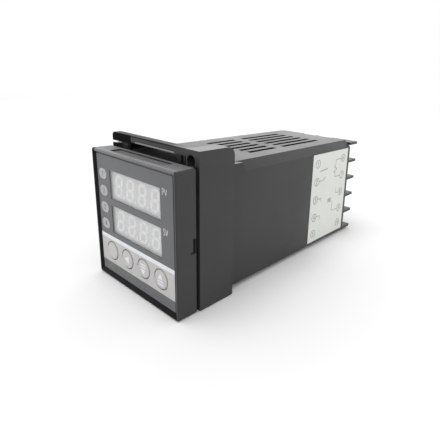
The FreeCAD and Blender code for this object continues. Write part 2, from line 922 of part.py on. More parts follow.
def make_transformer_coil():
    """Winding round the middle leg, on a bobbin that stands on the board."""
    core_low = -board_inner + core_board_gap
    x_high = core_low + core_thickness + core_board_gap
    reach_y = core_leg / 2 + core_window - coil_clearance
    reach_z = core_height / 2 - core_yoke - coil_clearance
    coil = box(-board_inner, x_high, core_center_y - reach_y, core_center_y + reach_y,
               core_center_z - reach_z, core_center_z + reach_z)
    edges = edges_where(coil, lambda b: b.ZLength > reach_z)
    coil = coil.makeChamfer(coil_edge, edges)
    leg = core_leg / 2 + coil_clearance
    return coil.cut(box(core_low - coil_clearance, core_low + core_thickness + coil_clearance,
                        core_center_y - leg, core_center_y + leg,
                        core_center_z - reach_z - past, core_center_z + reach_z + past))


def make_relay(center_z):
    return box(-board_inner, -board_inner + relay_height,
               relay_center_y - relay_length / 2, relay_center_y + relay_length / 2,
               center_z - relay_width / 2, center_z + relay_width / 2)


def make_filter_capacitors():
    x_low = -board_inner
    return Part.makeCompound([post(x_low, x_low + capacitor_height,
                                   capacitor_center_y + step * capacitor_pitch,
                                   capacitor_center_z, capacitor_radius) for step in (0, 1)])


def make_varistor():
    """Upright coated disc on its lead stub."""
    center_x = -board_inner + varistor_radius + varistor_lead
    axis = FreeCAD.Vector(0, 1, 0)
    base = FreeCAD.Vector(center_x, rear_parts_y - varistor_thickness / 2, varistor_center_z)
    disc = Part.makeCylinder(varistor_radius, varistor_thickness, base, axis)
    foot = box(-board_inner, center_x, rear_parts_y - varistor_thickness / 4,
               rear_parts_y + varistor_thickness / 4,
               varistor_center_z - varistor_radius / 2, varistor_center_z + varistor_radius / 2)
    return disc.fuse(foot)


def left_chip(center_y, center_z, length, width, height):
    return box(-board_inner, -board_inner + height, center_y - length / 2, center_y + length / 2,
               center_z - width / 2, center_z + width / 2)


def right_chip(center_y, center_z, length, width, height):
    return mirrored_x(left_chip(center_y, center_z, length, width, height))


def make_crystal():
    can = right_chip(crystal_center_y, crystal_center_z, crystal_length, crystal_width,
                     crystal_height)
    edges = edges_where(can, lambda b: b.XLength > crystal_height / 2)
    return can.makeChamfer(crystal_edge, edges)


def make_smoothing_capacitors():
    x_high = board_inner
    return Part.makeCompound([post(x_high - smoothing_height, x_high, rear_parts_y,
                                   (index - (smoothing_count - 1) / 2) * smoothing_pitch,
                                   smoothing_radius) for index in range(smoothing_count)])


# ---------------------------------------------------------------- all nodes
def make_nodes():
    nodes = {
        "case_shell": make_case(),
        "terminal_block": make_terminal_block(),
        "terminal_contacts": make_terminal_contacts(),
        "terminal_clamps": make_terminal_clamps(),
        "terminal_screws": make_terminal_screws(),
        "side_label": make_side_label(),
        "mounting_bracket": make_bracket(),
        "front_bezel": make_bezel(),
        "front_film": make_film(),
        "window_pane": make_window_pane(),
        "indicator_lenses": make_indicator_lenses(),
        "indicator_leds": make_indicator_leds(),
        "upper_display": make_display(upper_window_z),
        "lower_display": make_display(lower_window_z),
        "upper_digits": make_segments(upper_window_z),
        "lower_digits": make_segments(lower_window_z),
        "display_board": make_display_board(),
        "key_switches": make_key_switches(),
        "power_board": make_main_board(-1),
        "logic_board": make_main_board(1),
        "board_headers": make_board_headers(),
        "transformer_core": make_transformer_core(),
        "transformer_coil": make_transformer_coil(),
        "output_relay": make_relay(relay_center_z - relay_pitch / 2),
        "alarm_relay": make_relay(relay_center_z + relay_pitch / 2),
        "filter_capacitors": make_filter_capacitors(),
        "varistor": make_varistor(),
        "rectifier": left_chip(rear_parts_y, rectifier_center_z, rectifier_length,
                               rectifier_width, rectifier_height),
        "processor": right_chip(processor_center_y, 0, processor_size, processor_size,
                                processor_height),
        "memory_chip": right_chip(memory_center_y, 0, memory_length, memory_width, memory_height),
        "input_amplifier": right_chip(amplifier_center_y, 0, amplifier_length, amplifier_width,
                                      amplifier_height),
        "crystal": make_crystal(),
        "smoothing_capacitors": make_smoothing_capacitors(),
    }
    for key_name, plunger_name, x in zip(key_names, plunger_names, key_places()):
        nodes[key_name] = make_key(x)
        nodes[plunger_name] = make_plunger(x)
    return nodes


def main():
    os.makedirs("parts", exist_ok=True)
    for name, shape in make_nodes().items():
        shape.exportStep("parts/" + name + ".step")
        print(name, "solids", len(shape.Solids), "valid", shape.isValid(),
              "volume", round(shape.Volume, 1))


main()
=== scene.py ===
"""Looks of the 48 x 48 mm panel temperature controller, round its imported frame.

Every length is in metres, in the frame's own axes: +Z up, the front faces -Y.
"""

import json
import math

import bmesh
import bpy
from mathutils import Matrix, Vector


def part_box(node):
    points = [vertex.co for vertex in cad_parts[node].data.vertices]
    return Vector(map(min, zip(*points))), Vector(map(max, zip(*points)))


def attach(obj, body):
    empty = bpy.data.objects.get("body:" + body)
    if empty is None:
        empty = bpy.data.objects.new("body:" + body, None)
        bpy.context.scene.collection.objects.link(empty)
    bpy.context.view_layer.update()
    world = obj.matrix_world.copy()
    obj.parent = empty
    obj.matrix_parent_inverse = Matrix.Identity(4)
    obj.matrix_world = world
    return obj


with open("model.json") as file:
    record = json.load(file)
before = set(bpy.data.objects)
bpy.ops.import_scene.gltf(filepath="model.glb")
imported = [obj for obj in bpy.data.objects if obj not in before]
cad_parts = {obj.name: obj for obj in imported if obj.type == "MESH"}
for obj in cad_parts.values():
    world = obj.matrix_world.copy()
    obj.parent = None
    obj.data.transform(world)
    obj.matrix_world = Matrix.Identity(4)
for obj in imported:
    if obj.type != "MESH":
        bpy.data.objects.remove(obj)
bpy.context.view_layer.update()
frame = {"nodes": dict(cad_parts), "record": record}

MM = 0.001

# ---------------------------------------------------------------- sizes
# Print on the front film, in millimetres
PRINT_LIFT = 0.01
PRINT_THICKNESS = 0.01
BAND_BOTTOM = -17.9
LINE_TOP = -7.2
LINE_BOTTOM = -8.7
LETTER_LEFT = 16.7
LETTER_WIDTH = 1.0
LETTER_HEIGHT = 2.0
LETTER_RISE = 3.34
LETTER_GAP = 0.25
LETTER_PEN = 0.28
INDICATOR_LENGTH = 4.6
INDICATOR_HEIGHT = 3.4
INDICATOR_COUNT = 4
INDICATOR_PEN = 0.35
INDICATOR_NUMERAL_PEN = 0.30
KEY_HOLE = 3.35
# Painted highlight ring round each key, covering the gap's shade: radius, width and steps
KEY_OUTLINE = 3.41
KEY_OUTLINE_PEN = 0.36
KEY_OUTLINE_STEPS = 36
BAND_STEPS = 24
KEY_BAND_REACH = (-20.0, 20.0)
KEYS = ("set_key", "shift_key", "down_key", "up_key")
NUMERAL_WIDTH = 1.0
NUMERAL_HEIGHT = 1.6

# Print on the side label, in millimetres: u runs back along the case, v up
LABEL_ROWS = (15.0, 7.0, -1.2, -9.4, -17.0)
LABEL_COLUMNS = (67.3, 88.4)
LABEL_RING = 1.7
LABEL_RING_PEN = 0.45
LABEL_LINE_PEN = 0.4
LABEL_BAR_PEN = 0.6

# Places on the mouldings, in millimetres, where painted light and shade change the plastic;
# SIDE_END lies beyond every side
SIDE_END = 25.0
RIM_DEPTH = (-9.0, -7.3)
RIM_TOP = (22.2, SIDE_END)
RIM_RIGHT = (22.0, 23.3)
RIM_LEFT = (-SIDE_END, -21.9)
RIM_BOTTOM = (-SIDE_END, -21.5)
RIM_BOTTOM_REACH = (-SIDE_END, 23.4)
BRACKET_FACE = (-1.0, 0.3)
BAR_RIB_HEIGHT = (26.45, 26.95)
BAR_RIB_REACH = (-9.6, 12.4)
BAR_NOSE_REACH = (-SIDE_END, -12.0)
BAR_DEPTH = (-1.0, 3.4)
BAR_TOP = (28.3, 29.0)
BAR_FADE = (9.0, 19.0)
BOSS_REACH = (17.5, SIDE_END)
BOSS_HEIGHT = (24.0, 29.0)
CASE_COVERED = (-2.0, 14.5)

# Floor, in metres from the origin: solid out to the first, gone at the second
FLOOR_SOLID = 0.35
FLOOR_END = 1.2
FLOOR_DROP = 0.0001

# Lamps, in metres and watts: name, place, diameter, power
LAMPS = (
    ("key_light", (-0.13, -0.10, 0.82), 0.4, 1.5),
    ("back_light", (-0.62, 0.85, 0.42), 0.9, 1.0),
)
LAMP_TARGET = (0.0, 0.04, 0.0)

# Camera: metres, degrees and millimetres of lens and sensor
CAMERA_POSITION = (0.1094, -0.0722, 0.0508)
CAMERA_AZIMUTH = 40.62
CAMERA_ELEVATION = 15.83
CAMERA_ROLL = 2.24
CAMERA_LENS = 31.89
CAMERA_SHIFT = (-0.0889, -0.0770)
CAMERA_SENSOR = 36.0
CAMERA_NEAR = 0.005


# ---------------------------------------------------------------- materials
# Colour sockets of a Mix node
MIX_FIRST = 6
MIX_SECOND = 7
MIX_RESULT = 2


class Nodes:
    """Short calls for building one material's node tree.

    color and bloom hold the plastic's own colour and its painted top sheen, for a material that
    masks them.
    """

    color = None
    bloom = None

    def __init__(self, name):
        self.material = bpy.data.materials.new(name)
        self.material.use_nodes = True
        self.tree = self.material.node_tree
        self.shader = self.tree.nodes["Principled BSDF"]
        self.place = self.tree.nodes.new("ShaderNodeTexCoord").outputs["Object"]

    def add(self, kind, **settings):
        """A new node; settings that it has no property for go to the socket of that name."""
        node = self.tree.nodes.new(kind)
        for key, value in settings.items():
            if hasattr(node, key):
                setattr(node, key, value)
            else:
                node.inputs[key.replace("_", " ").title()].default_value = value
        return node

    def link(self, source, target):
        self.tree.links.new(source, target)

    def noise(self, scale, detail=3.0, roughness=0.5, source=None):
        node = self.add("ShaderNodeTexNoise", scale=scale, detail=detail, roughness=roughness)
        self.link(source or self.place, node.inputs["Vector"])
        return node.outputs["Fac"]

    def voronoi(self, scale):
        node = self.add("ShaderNodeTexVoronoi", scale=scale)
        self.link(self.place, node.inputs["Vector"])
        return node.outputs["Distance"]

    def ramp(self, source, low, high, from_low=0.35, from_high=0.65):
        """Carries the range of a source, by default most of a noise's, onto low to high."""
        node = self.add("ShaderNodeMapRange", from_min=from_low, from_max=from_high,
                        to_min=low, to_max=high)
        self.link(source, node.inputs["Value"])
        return node.outputs["Result"]

    def blend(self, factor, first, second):
        """From one plain colour to another as the factor rises."""
        node = self.add("ShaderNodeMix", data_type="RGBA")
        node.inputs[MIX_FIRST].default_value = (*first, 1)
        node.inputs[MIX_SECOND].default_value = (*second, 1)
        self.link(factor, node.inputs["Factor"])
        return node.outputs[MIX_RESULT]

    def math(self, operation, first, second):
        """An operation on two values, each a number or a socket."""
        node = self.add("ShaderNodeMath", operation=operation)
        for socket, value in zip(node.inputs, (first, second)):
            if isinstance(value, (int, float)):
                socket.default_value = value
            else:
                self.link(value, socket)
        return node.outputs[0]

    def along(self, axis):
        """The place along one axis, in metres."""
        split = self.add("ShaderNodeSeparateXYZ")
        self.link(self.place, split.inputs[0])
        return split.outputs[axis]

    def inside(self, axis, span):
        """One where the place along an axis lies between two distances in millimetres."""
        low, high = span
        value = self.along(axis)
        above = self.math("GREATER_THAN", value, low * MM)
        return self.math("MULTIPLY", above, self.math("LESS_THAN", value, high * MM))

    def facing_up(self, low, high):
        """Rises from nothing to one as the surface turns from downward to upward."""
        split = self.add("ShaderNodeSeparateXYZ")
        self.link(self.add("ShaderNodeNewGeometry").outputs["Normal"], split.inputs[0])
        return self.ramp(split.outputs["Z"], 0, 1, low, high)

    def over(self, factor, below, top):
        """The colour below, with a plain colour on top where the factor is one."""
        node = self.add("ShaderNodeMix", data_type="RGBA")
        self.link(below, node.inputs[MIX_FIRST])
        node.inputs[MIX_SECOND].default_value = (*top, 1)
        self.link(factor, node.inputs["Factor"])
        return node.outputs[MIX_RESULT]

    def both(self, first, second):
        """One where two masks are both one."""
        return self.math("MULTIPLY", first, second)

    def either(self, first, second):
        """One where at least one of two masks is one."""
        return self.math("MAXIMUM", first, second)

    def fade(self, mask, plain, masked):
        """A number that is plain outside a mask and masked inside it."""
        return self.ramp(mask, plain, masked, 0, 1)

    def bump(self, height, distance):
        node = self.add("ShaderNodeBump", strength=1.0, distance=distance)
        self.link(height, node.inputs["Height"])
        self.link(node.outputs["Normal"], self.shader.inputs["Normal"])

    def feed(self, source, socket):
        """Links a value that changes over the surface to the shader's socket."""
        self.link(source, self.shader.inputs[socket])

    def set(self, socket, value):
        """Sets a value that is the same all over on the shader's own socket."""
        self.shader.inputs[socket].default_value = value


def grained(name, dark, light, bloom=0.3):
    """Moulded plastic with a fine grain, faint tone variation and sheen weighted to upper faces as
    painted light.
    """
    n = Nodes(name)
    n.color = n.blend(n.ramp(n.noise(35.0, 4.0), 0, 1), dark, light)
    n.feed(n.color, "Base Color")
    n.feed(n.ramp(n.noise(60.0, 5.0), 0.36, 0.44), "Roughness")
    n.bump(n.noise(900.0, 2.0, 0.6), 0.000006)
    # Sheen strong on upward faces and none on downward ones: painted light from above over the
    # real grazing sheen
    if bloom:
        n.bloom = n.math("MULTIPLY", n.facing_up(-0.25, 0.35), bloom)
        n.feed(n.bloom, "Sheen Weight")
        n.set("Sheen Roughness", 0.4)
    return n


def mottled(name, dark, light, rough, scale, depth=0.00002):
    """Smooth surface with a fine mottled colour."""
    n = Nodes(name)
    n.color = n.blend(n.ramp(n.noise(scale, 4.0, 0.6), 0, 1), dark, light)
    n.feed(n.color, "Base Color")
    n.feed(n.ramp(n.noise(scale * 2, 3.0), rough - 0.05, rough + 0.08), "Roughness")
    n.bump(n.noise(scale * 5, 2.0), depth)
    return n


def speckled(*recipe):
    """The material of a mottled surface as it stands; it takes what mottled takes."""
    return mottled(*recipe).material


def brushed(name, dark, light, rough, stretch):
    """Metal with drawn lines, finer along each axis by that axis's number in stretch."""
    n = Nodes(name)
    mapping = n.add("ShaderNodeMapping", scale=stretch)
    n.link(n.place, mapping.inputs["Vector"])
    lines = n.noise(400.0, 3.0, 0.6, mapping.outputs["Vector"])
    n.feed(n.blend(n.ramp(lines, 0, 1), dark, light), "Base Color")
    n.feed(n.ramp(lines, rough - 0.08, rough + 0.1), "Roughness")
    n.bump(lines, 0.000008)
    n.set("Metallic", 1.0)
    return n.material


def film_print():
    """Printed film: a mottled grey, with painted light, the band's ink colour, in the key
    openings' walls.
    """
    n = mottled("front_print", (0.093, 0.096, 0.103), (0.101, 0.104, 0.111),
                0.34, 140.0, 0.000012)
    # Painted light: the key openings' walls take the band's pale colour, lifting the shade in the
    # gaps round the keys
    hole_wall_light = n.both(n.inside("Z", (BAND_BOTTOM, LINE_BOTTOM)), n.inside("X", KEY_BAND_REACH))
    n.feed(n.over(hole_wall_light, n.color, (0.45, 0.445, 0.44)), "Base Color")
    return n.material


def clear_window():
    """Thin smoked plastic, faintly clouded, that shows what lies behind it."""
    n = Nodes("clear_window")
    haze = n.noise(120.0, 3.0)
    n.feed(n.ramp(haze, 0.08, 0.13), "Roughness")
    n.feed(n.blend(n.ramp(haze, 0, 1), (0.70, 0.71, 0.71), (0.721, 0.7313, 0.7313)), "Base Color")
    n.set("Alpha", 0.22)
    return n.material


def winding_tape():
    """Amber polyester tape with the faint ridges of the turns beneath it."""
    n = Nodes("coil_tape")
    wave = n.add("ShaderNodeTexWave", bands_direction="Z", scale=420.0, distortion=0.6)
    n.link(n.place, wave.inputs["Vector"])
    ridges = wave.outputs["Fac"]
    n.feed(n.blend(n.ramp(ridges, 0, 1, 0, 1), (0.42, 0.24, 0.02), (0.62, 0.40, 0.05)),
           "Base Color")
    n.feed(n.ramp(n.noise(200.0), 0.22, 0.36), "Roughness")
    n.bump(ridges, 0.00004)
    return n.material


def circuit_board():
    """Green solder mask with copper tracks beneath it and a scatter of pads."""
    n = Nodes("circuit_board")
    turned = n.add("ShaderNodeMapping", rotation=(0, math.pi / 2, 0))
    n.link(n.place, turned.inputs["Vector"])
    brick = n.add("ShaderNodeTexBrick", scale=120.0, mortar_size=0.03)
    n.link(turned.outputs["Vector"], brick.inputs["Vector"])
    tracks = n.ramp(brick.outputs["Fac"], 0, 1, 0, 1)
    pads = n.ramp(n.voronoi(260.0), 1, 0, 0.12, 0.16)
    mask = n.blend(tracks, (0.012, 0.105, 0.035), (0.035, 0.20, 0.07))
    n.feed(n.over(pads, mask, (0.62, 0.60, 0.56)), "Base Color")
    n.feed(n.ramp(n.noise(90.0), 0.28, 0.42), "Roughness")
    n.bump(brick.outputs["Fac"], 0.00003)
    return n.material


def bezel_plastic():
    """Bezel moulding: painted shade on the rim's left and bottom sides, a painted highlight on its
    top and right.
    """
    n = grained("bezel_plastic", (0.0100, 0.0100, 0.0108), (0.0140, 0.0140, 0.0152), 0.6)
    rim = n.inside("Y", RIM_DEPTH)
    # Masks of the rim's painted highlight, top and right, and of its painted shade, left and
    # bottom
    top = n.both(n.inside("Z", RIM_TOP), n.inside("X", (-SIDE_END, RIM_RIGHT[1])))
    pale = n.both(n.either(top, n.inside("X", RIM_RIGHT)), rim)
    bottom = n.both(n.inside("Z", RIM_BOTTOM), n.inside("X", RIM_BOTTOM_REACH))
    dark = n.both(n.either(n.inside("X", RIM_LEFT), bottom), rim)
    # Painted highlight colour, then painted shade: near black, with less reflection and no sheen
    color = n.over(pale, n.color, (0.105, 0.105, 0.110))
    n.feed(n.over(dark, color, (0.006, 0.006, 0.006)), "Base Color")
    n.feed(n.fade(dark, 0.5, 0.1), "Specular IOR Level")
    n.feed(n.math("MULTIPLY", n.bloom, n.fade(dark, 1, 0)), "Sheen Weight")
    return n.material


def bracket_plastic():
    """Bracket moulding: painted shade on nose and bar top, painted highlights as more sheen on the
    boss and a pale rib.
    """
    n = grained("bracket_plastic", (0.0110, 0.0118, 0.0116), (0.0160, 0.0168, 0.0166))
    face = n.inside("Y", BRACKET_FACE)
    # The rib's pale band is a painted highlight
    rib_highlight = n.both(n.both(face, n.inside("Z", BAR_RIB_HEIGHT)), n.inside("X", BAR_RIB_REACH))
    # Nose and bar top lose reflection and sheen, fading out along the bar: painted shade
    nose = n.both(face, n.inside("X", BAR_NOSE_REACH))
    along_bar = n.ramp(n.along("X"), 0.85, 0.0, BAR_FADE[0] * MM, BAR_FADE[1] * MM)
    bar = n.both(n.both(n.inside("Y", BAR_DEPTH), n.inside("Z", BAR_TOP)), along_bar)
    shaded_nose_and_bar = n.either(nose, bar)
    # More sheen on the boss: a painted highlight
    boss = n.both(n.inside("X", BOSS_REACH), n.inside("Z", BOSS_HEIGHT))
    n.feed(n.over(rib_highlight, n.color, (0.30, 0.30, 0.30)), "Base Color")
    n.feed(n.fade(shaded_nose_and_bar, 0.5, 0.0), "Specular IOR Level")
    bloom = n.math("MULTIPLY", n.bloom, n.fade(shaded_nose_and_bar, 1, 0))
    n.feed(n.math("MULTIPLY", bloom, n.fade(boss, 1, 1.9)), "Sheen Weight")
    return n.material


def case_plastic(black, soft_black):
    """Case moulding: painted shade, deeper black with less sheen, on the front end that the
    bracket covers.
    """
    n = grained("case_plastic", black, soft_black, 0.28)
    # Painted shade under the bracket: deeper black, less sheen and less reflection
    under_bracket_shade = n.inside("Y", CASE_COVERED)
    n.feed(n.over(under_bracket_shade, n.color, (0.0085, 0.0085, 0.0085)), "Base Color")
    n.feed(n.math("MULTIPLY", n.bloom, n.fade(under_bracket_shade, 1, 0.45)), "Sheen Weight")
    n.feed(n.fade(under_bracket_shade, 0.5, 0.42), "Specular IOR Level")
    return n.material


def make_materials():
    """One material for each of the record's material slots."""
    black = (0.0105, 0.0105, 0.0105)
    soft_black = (0.0150, 0.0150, 0.0148)
    return {
        "case_plastic": case_plastic(black, soft_black),
        "block_plastic": grained("block_plastic", black, soft_black, 0.12).material,
        "bracket_plastic": bracket_plastic(),
        "bezel_plastic": bezel_plastic(),
        "front_print": film_print(),
        "clear_window": clear_window(),
        "indicator_lens": speckled("indicator_lens", (0.355, 0.357, 0.360), (0.390, 0.392, 0.395),
                                   0.30, 300.0, 0.00001),
        "led_resin": speckled("led_resin", (0.75, 0.72, 0.62), (0.85, 0.82, 0.70),
                              0.25, 300.0),
        "display_face": speckled("display_face", (0.64, 0.65, 0.65), (0.69, 0.70, 0.70),
                                 0.45, 180.0, 0.00001),
        "digit_resin": speckled("digit_resin", (0.86, 0.86, 0.85), (0.92, 0.92, 0.91),
                                0.35, 260.0, 0.00001),
        "key_plastic": speckled("key_plastic", (0.475, 0.465, 0.455), (0.505, 0.495, 0.485),
                                0.33, 220.0, 0.00001),
        "circuit_board": circuit_board(),
        "switch_plastic": speckled("switch_plastic", (0.02, 0.02, 0.022), (0.035, 0.035, 0.038),
                                   0.40, 400.0),
        "contact_brass": brushed("contact_brass", (0.62, 0.47, 0.22), (0.78, 0.62, 0.33), 0.30,
                                 (6, 1, 6)),
        "clamp_steel": brushed("clamp_steel", (0.55, 0.55, 0.56), (0.72, 0.72, 0.73), 0.32,
                               (6, 6, 1)),
        "screw_steel": brushed("screw_steel", (0.58, 0.58, 0.60), (0.76, 0.76, 0.78), 0.26,
                               (3, 3, 3)),
        "label_film": speckled("label_film", (0.66, 0.68, 0.645), (0.70, 0.72, 0.685),
                               0.42, 120.0, 0.000012),
        "ferrite": speckled("ferrite", (0.018, 0.017, 0.017), (0.042, 0.040, 0.040), 0.55, 500.0,
                            0.00005),
        "coil_tape": winding_tape(),
        "relay_plastic": grained("relay_plastic", (0.020, 0.055, 0.16), (0.028, 0.070, 0.20),
                                 0.0).material,
        "capacitor_sleeve": speckled("capacitor_sleeve", (0.012, 0.016, 0.030),
                                     (0.022, 0.028, 0.050), 0.28, 150.0),
        "varistor_coat": speckled("varistor_coat", (0.04, 0.10, 0.34), (0.06, 0.14, 0.42),
                                  0.32, 200.0, 0.00004),
        "chip_resin": speckled("chip_resin", (0.016, 0.016, 0.017), (0.028, 0.028, 0.029),
                               0.52, 600.0, 0.00003),
        "crystal_can": brushed("crystal_can", (0.66, 0.66, 0.66), (0.80, 0.80, 0.79), 0.22,
                               (1, 6, 6)),
    }


def print_ink(name, dark, light, rough=0.40):
    """Screen-printed ink, slightly uneven."""
    return speckled(name, dark, light, rough, 350.0, 0.000008)


def dress_nodes(materials):
    """Each CAD node gets the material of its slot in the record."""
    slots = {part["node"]: part["material_slot"] for part in frame["record"]["subparts"]}
    for name, piece in frame["nodes"].items():
        piece.data.materials.clear()
        piece.data.materials.append(materials[slots[name]])


# ---------------------------------------------------------------- printed shapes
def flat_piece(name, outlines, to_world, material, body):
    """Thin printed shapes from closed outlines of (u, v) points in millimetres.

    to_world(u, v, w) gives the place in metres, with w the height in metres above the surface.
    """
    mesh = bpy.data.meshes.new(name)
    shape = bmesh.new()
    for outline in outlines:
        low = [shape.verts.new(to_world(u, v, 0.0)) for u, v in outline]
        high = [shape.verts.new(to_world(u, v, PRINT_THICKNESS * MM)) for u, v in outline]
        count = len(outline)
        shape.faces.new(high)
        shape.faces.new(list(reversed(low)))
        for index in range(count):
            following = (index + 1) % count
            shape.faces.new([low[index], low[following], high[following], high[index]])
    bmesh.ops.recalc_face_normals(shape, faces=shape.faces)
    bmesh.ops.triangulate(shape, faces=[f for f in shape.faces if len(f.verts) > 4])
    shape.to_mesh(mesh)
    shape.free()
    piece = bpy.data.objects.new(name, mesh)
    bpy.context.scene.collection.objects.link(piece)
    mesh.materials.append(material)
    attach(piece, body)


def on_film(u, v, w):
    """Place on the front film, seen from the front: u to the right, v up."""
    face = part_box("front_film")[0][1]
    return Vector((u * MM, face - w - PRINT_LIFT * MM, v * MM))


def on_label(u, v, w):
    """Place on the side label, seen from the right side: u along +Y, v up."""
    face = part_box("side_label")[1][0]
    return Vector((face + w, u * MM, v * MM))


def rectangle(left, right, low, high):
    """Four corners of an upright rectangle."""
    return [(left, low), (right, low), (right, high), (left, high)]


def thick_line(start, end, width):
    """Four corners of a straight bar from start to end."""
    (x0, z0), (x1, z1) = start, end
    length = math.hypot(x1 - x0, z1 - z0)
    px = -(z1 - z0) / length * width / 2
    pz = (x1 - x0) / length * width / 2
    return [(x0 - px, z0 - pz), (x1 - px, z1 - pz), (x1 + px, z1 + pz), (x0 + px, z0 + pz)]


def strokes(path, width):
    """Bars along an open path of points."""
    return [thick_line(a, b, width) for a, b in zip(path, path[1:])]


def arc_points(x, z, radius, start, end, steps):
    """Points along an arc from one angle to another, in degrees."""
    points = []
    for step in range(steps + 1):
        angle = math.radians(start + (end - start) * step / steps)
        points.append((x + radius * math.cos(angle), z + radius * math.sin(angle)))
    return points


def chain(inner, outer):
    """Four-cornered pieces between two lines of points."""
    return [[inner[i], outer[i], outer[i + 1], inner[i + 1]] for i in range(len(outer) - 1)]


def ring(x, z, radius, width, steps=28):
    """Closed round ring."""
    outer = arc_points(x, z, radius + width / 2, 0, 360, steps)
    inner = arc_points(x, z, radius - width / 2, 0, 360, steps)
    return chain(inner, outer)


def oval_ring(x, z, length, height, width, steps=10):
    """Ring round an oval with straight top and bottom."""
    reach = (length - height) / 2
    outer = []
    inner = []
    for center, start in ((x + reach, -90), (x - reach, 90)):
        outer += arc_points(center, z, height / 2 + width / 2, start, start + 180, steps)
        inner += arc_points(center, z, height / 2 - width / 2, start, start + 180, steps)
    outer.append(outer[0])
    inner.append(inner[0])
    return chain(inner, outer)


# Characters as open paths in a box one wide and one high
GLYPHS = {
    "1": [[(0.15, 0.75), (0.5, 1.0), (0.5, 0.0)]],
    "2": [[(0.05, 0.8), (0.3, 1.0), (0.7, 1.0), (0.95, 0.78), (0.9, 0.55), (0.05, 0.0),
           (0.95, 0.0)]],
    "3": [[(0.05, 1.0), (0.95, 1.0), (0.45, 0.58), (0.8, 0.5), (0.95, 0.27), (0.7, 0.0),
           (0.3, 0.0), (0.05, 0.17)]],
    "4": [[(0.75, 0.0), (0.75, 1.0), (0.02, 0.3), (1.0, 0.3)]],
    "5": [[(0.9, 1.0), (0.15, 1.0), (0.1, 0.58), (0.65, 0.62), (0.95, 0.33), (0.7, 0.0),
           (0.05, 0.05)]],
    "6": [[(0.8, 1.0), (0.2, 0.55), (0.05, 0.25), (0.35, 0.0), (0.7, 0.0), (0.95, 0.28),
           (0.65, 0.55), (0.2, 0.5)]],
    "7": [[(0.05, 1.0), (0.95, 1.0), (0.4, 0.0)]],
    "8": [[(0.5, 0.54), (0.15, 0.75), (0.3, 1.0), (0.7, 1.0), (0.85, 0.75), (0.5, 0.54),
           (0.08, 0.27), (0.3, 0.0), (0.7, 0.0), (0.92, 0.27), (0.5, 0.54)]],
    "9": [[(0.2, 0.0), (0.8, 0.45), (0.95, 0.75), (0.65, 1.0), (0.3, 1.0), (0.05, 0.72),
           (0.35, 0.45), (0.8, 0.5)]],
    "0": [[(0.5, 0.0), (0.15, 0.2), (0.1, 0.8), (0.5, 1.0), (0.85, 0.8), (0.9, 0.2), (0.5, 0.0)]],
    "P": [[(0.08, 0.0), (0.08, 1.0), (0.7, 1.0), (0.92, 0.75), (0.7, 0.48), (0.08, 0.48)]],
    "V": [[(0.0, 1.0), (0.5, 0.0), (1.0, 1.0)]],
    "S": [[(0.92, 0.86), (0.65, 1.0), (0.3, 1.0), (0.08, 0.78), (0.3, 0.54), (0.7, 0.46),
           (0.92, 0.22), (0.7, 0.0), (0.3, 0.0), (0.05, 0.15)]],
}


def text_strokes(text, left, low, width, height, gap, pen):
    """Characters as bars; left and low are the corner of the first one."""
    bars = []
    for index, character in enumerate(text):
        x = left + index * (width + gap)
        for path in GLYPHS[character]:
            bars += strokes([(x + px * width, low + pz * height) for px, pz in path], pen)
    return bars


# ---------------------------------------------------------------- front print
def center(name):
    """Centre of a node in millimetres."""
    low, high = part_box(name)
    return [(a + b) / 2 / MM for a, b in zip(low, high)]


def numeral(number, x, z, pen):
    """One digit centred on a point."""
    return text_strokes(str(number), x - NUMERAL_WIDTH / 2, z - NUMERAL_HEIGHT / 2,
                        NUMERAL_WIDTH, NUMERAL_HEIGHT, 0, pen)


def reach_edge(offset, low, high):
    """How many times an offset fits between a centre and the edge that it points to."""
    if abs(offset) < 1e-9:
        return 1e9
    return (high if offset > 0 else low) / offset


def band_with_holes(left, right, low, high):
    """Band outlines that leave the round key openings free."""
    outlines = []
    centers = [center(name)[0] for name in KEYS]
    key_z = center(KEYS[0])[2]
    edges = [left] + [(a + b) / 2 for a, b in zip(centers, centers[1:])] + [right]
    for x, cell_left, cell_right in zip(centers, edges, edges[1:]):
        circle = arc_points(x, key_z, KEY_HOLE, 0, 360, BAND_STEPS)
        border = []
        for px, pz in circle:
            dx = px - x
            dz = pz - key_z
            scale = min(reach_edge(dx, cell_left - x, cell_right - x),
                        reach_edge(dz, low - key_z, high - key_z))
            border.append((x + dx * scale, key_z + dz * scale))
        outlines += chain(circle, border)
        for corner in rectangle(cell_left, cell_right, low, high):
            nearest = min(range(BAND_STEPS), key=lambda i: math.dist(corner, border[i])
                          + math.dist(corner, border[i + 1]))
            outlines.append([border[nearest], corner, border[nearest + 1]])
    return outlines


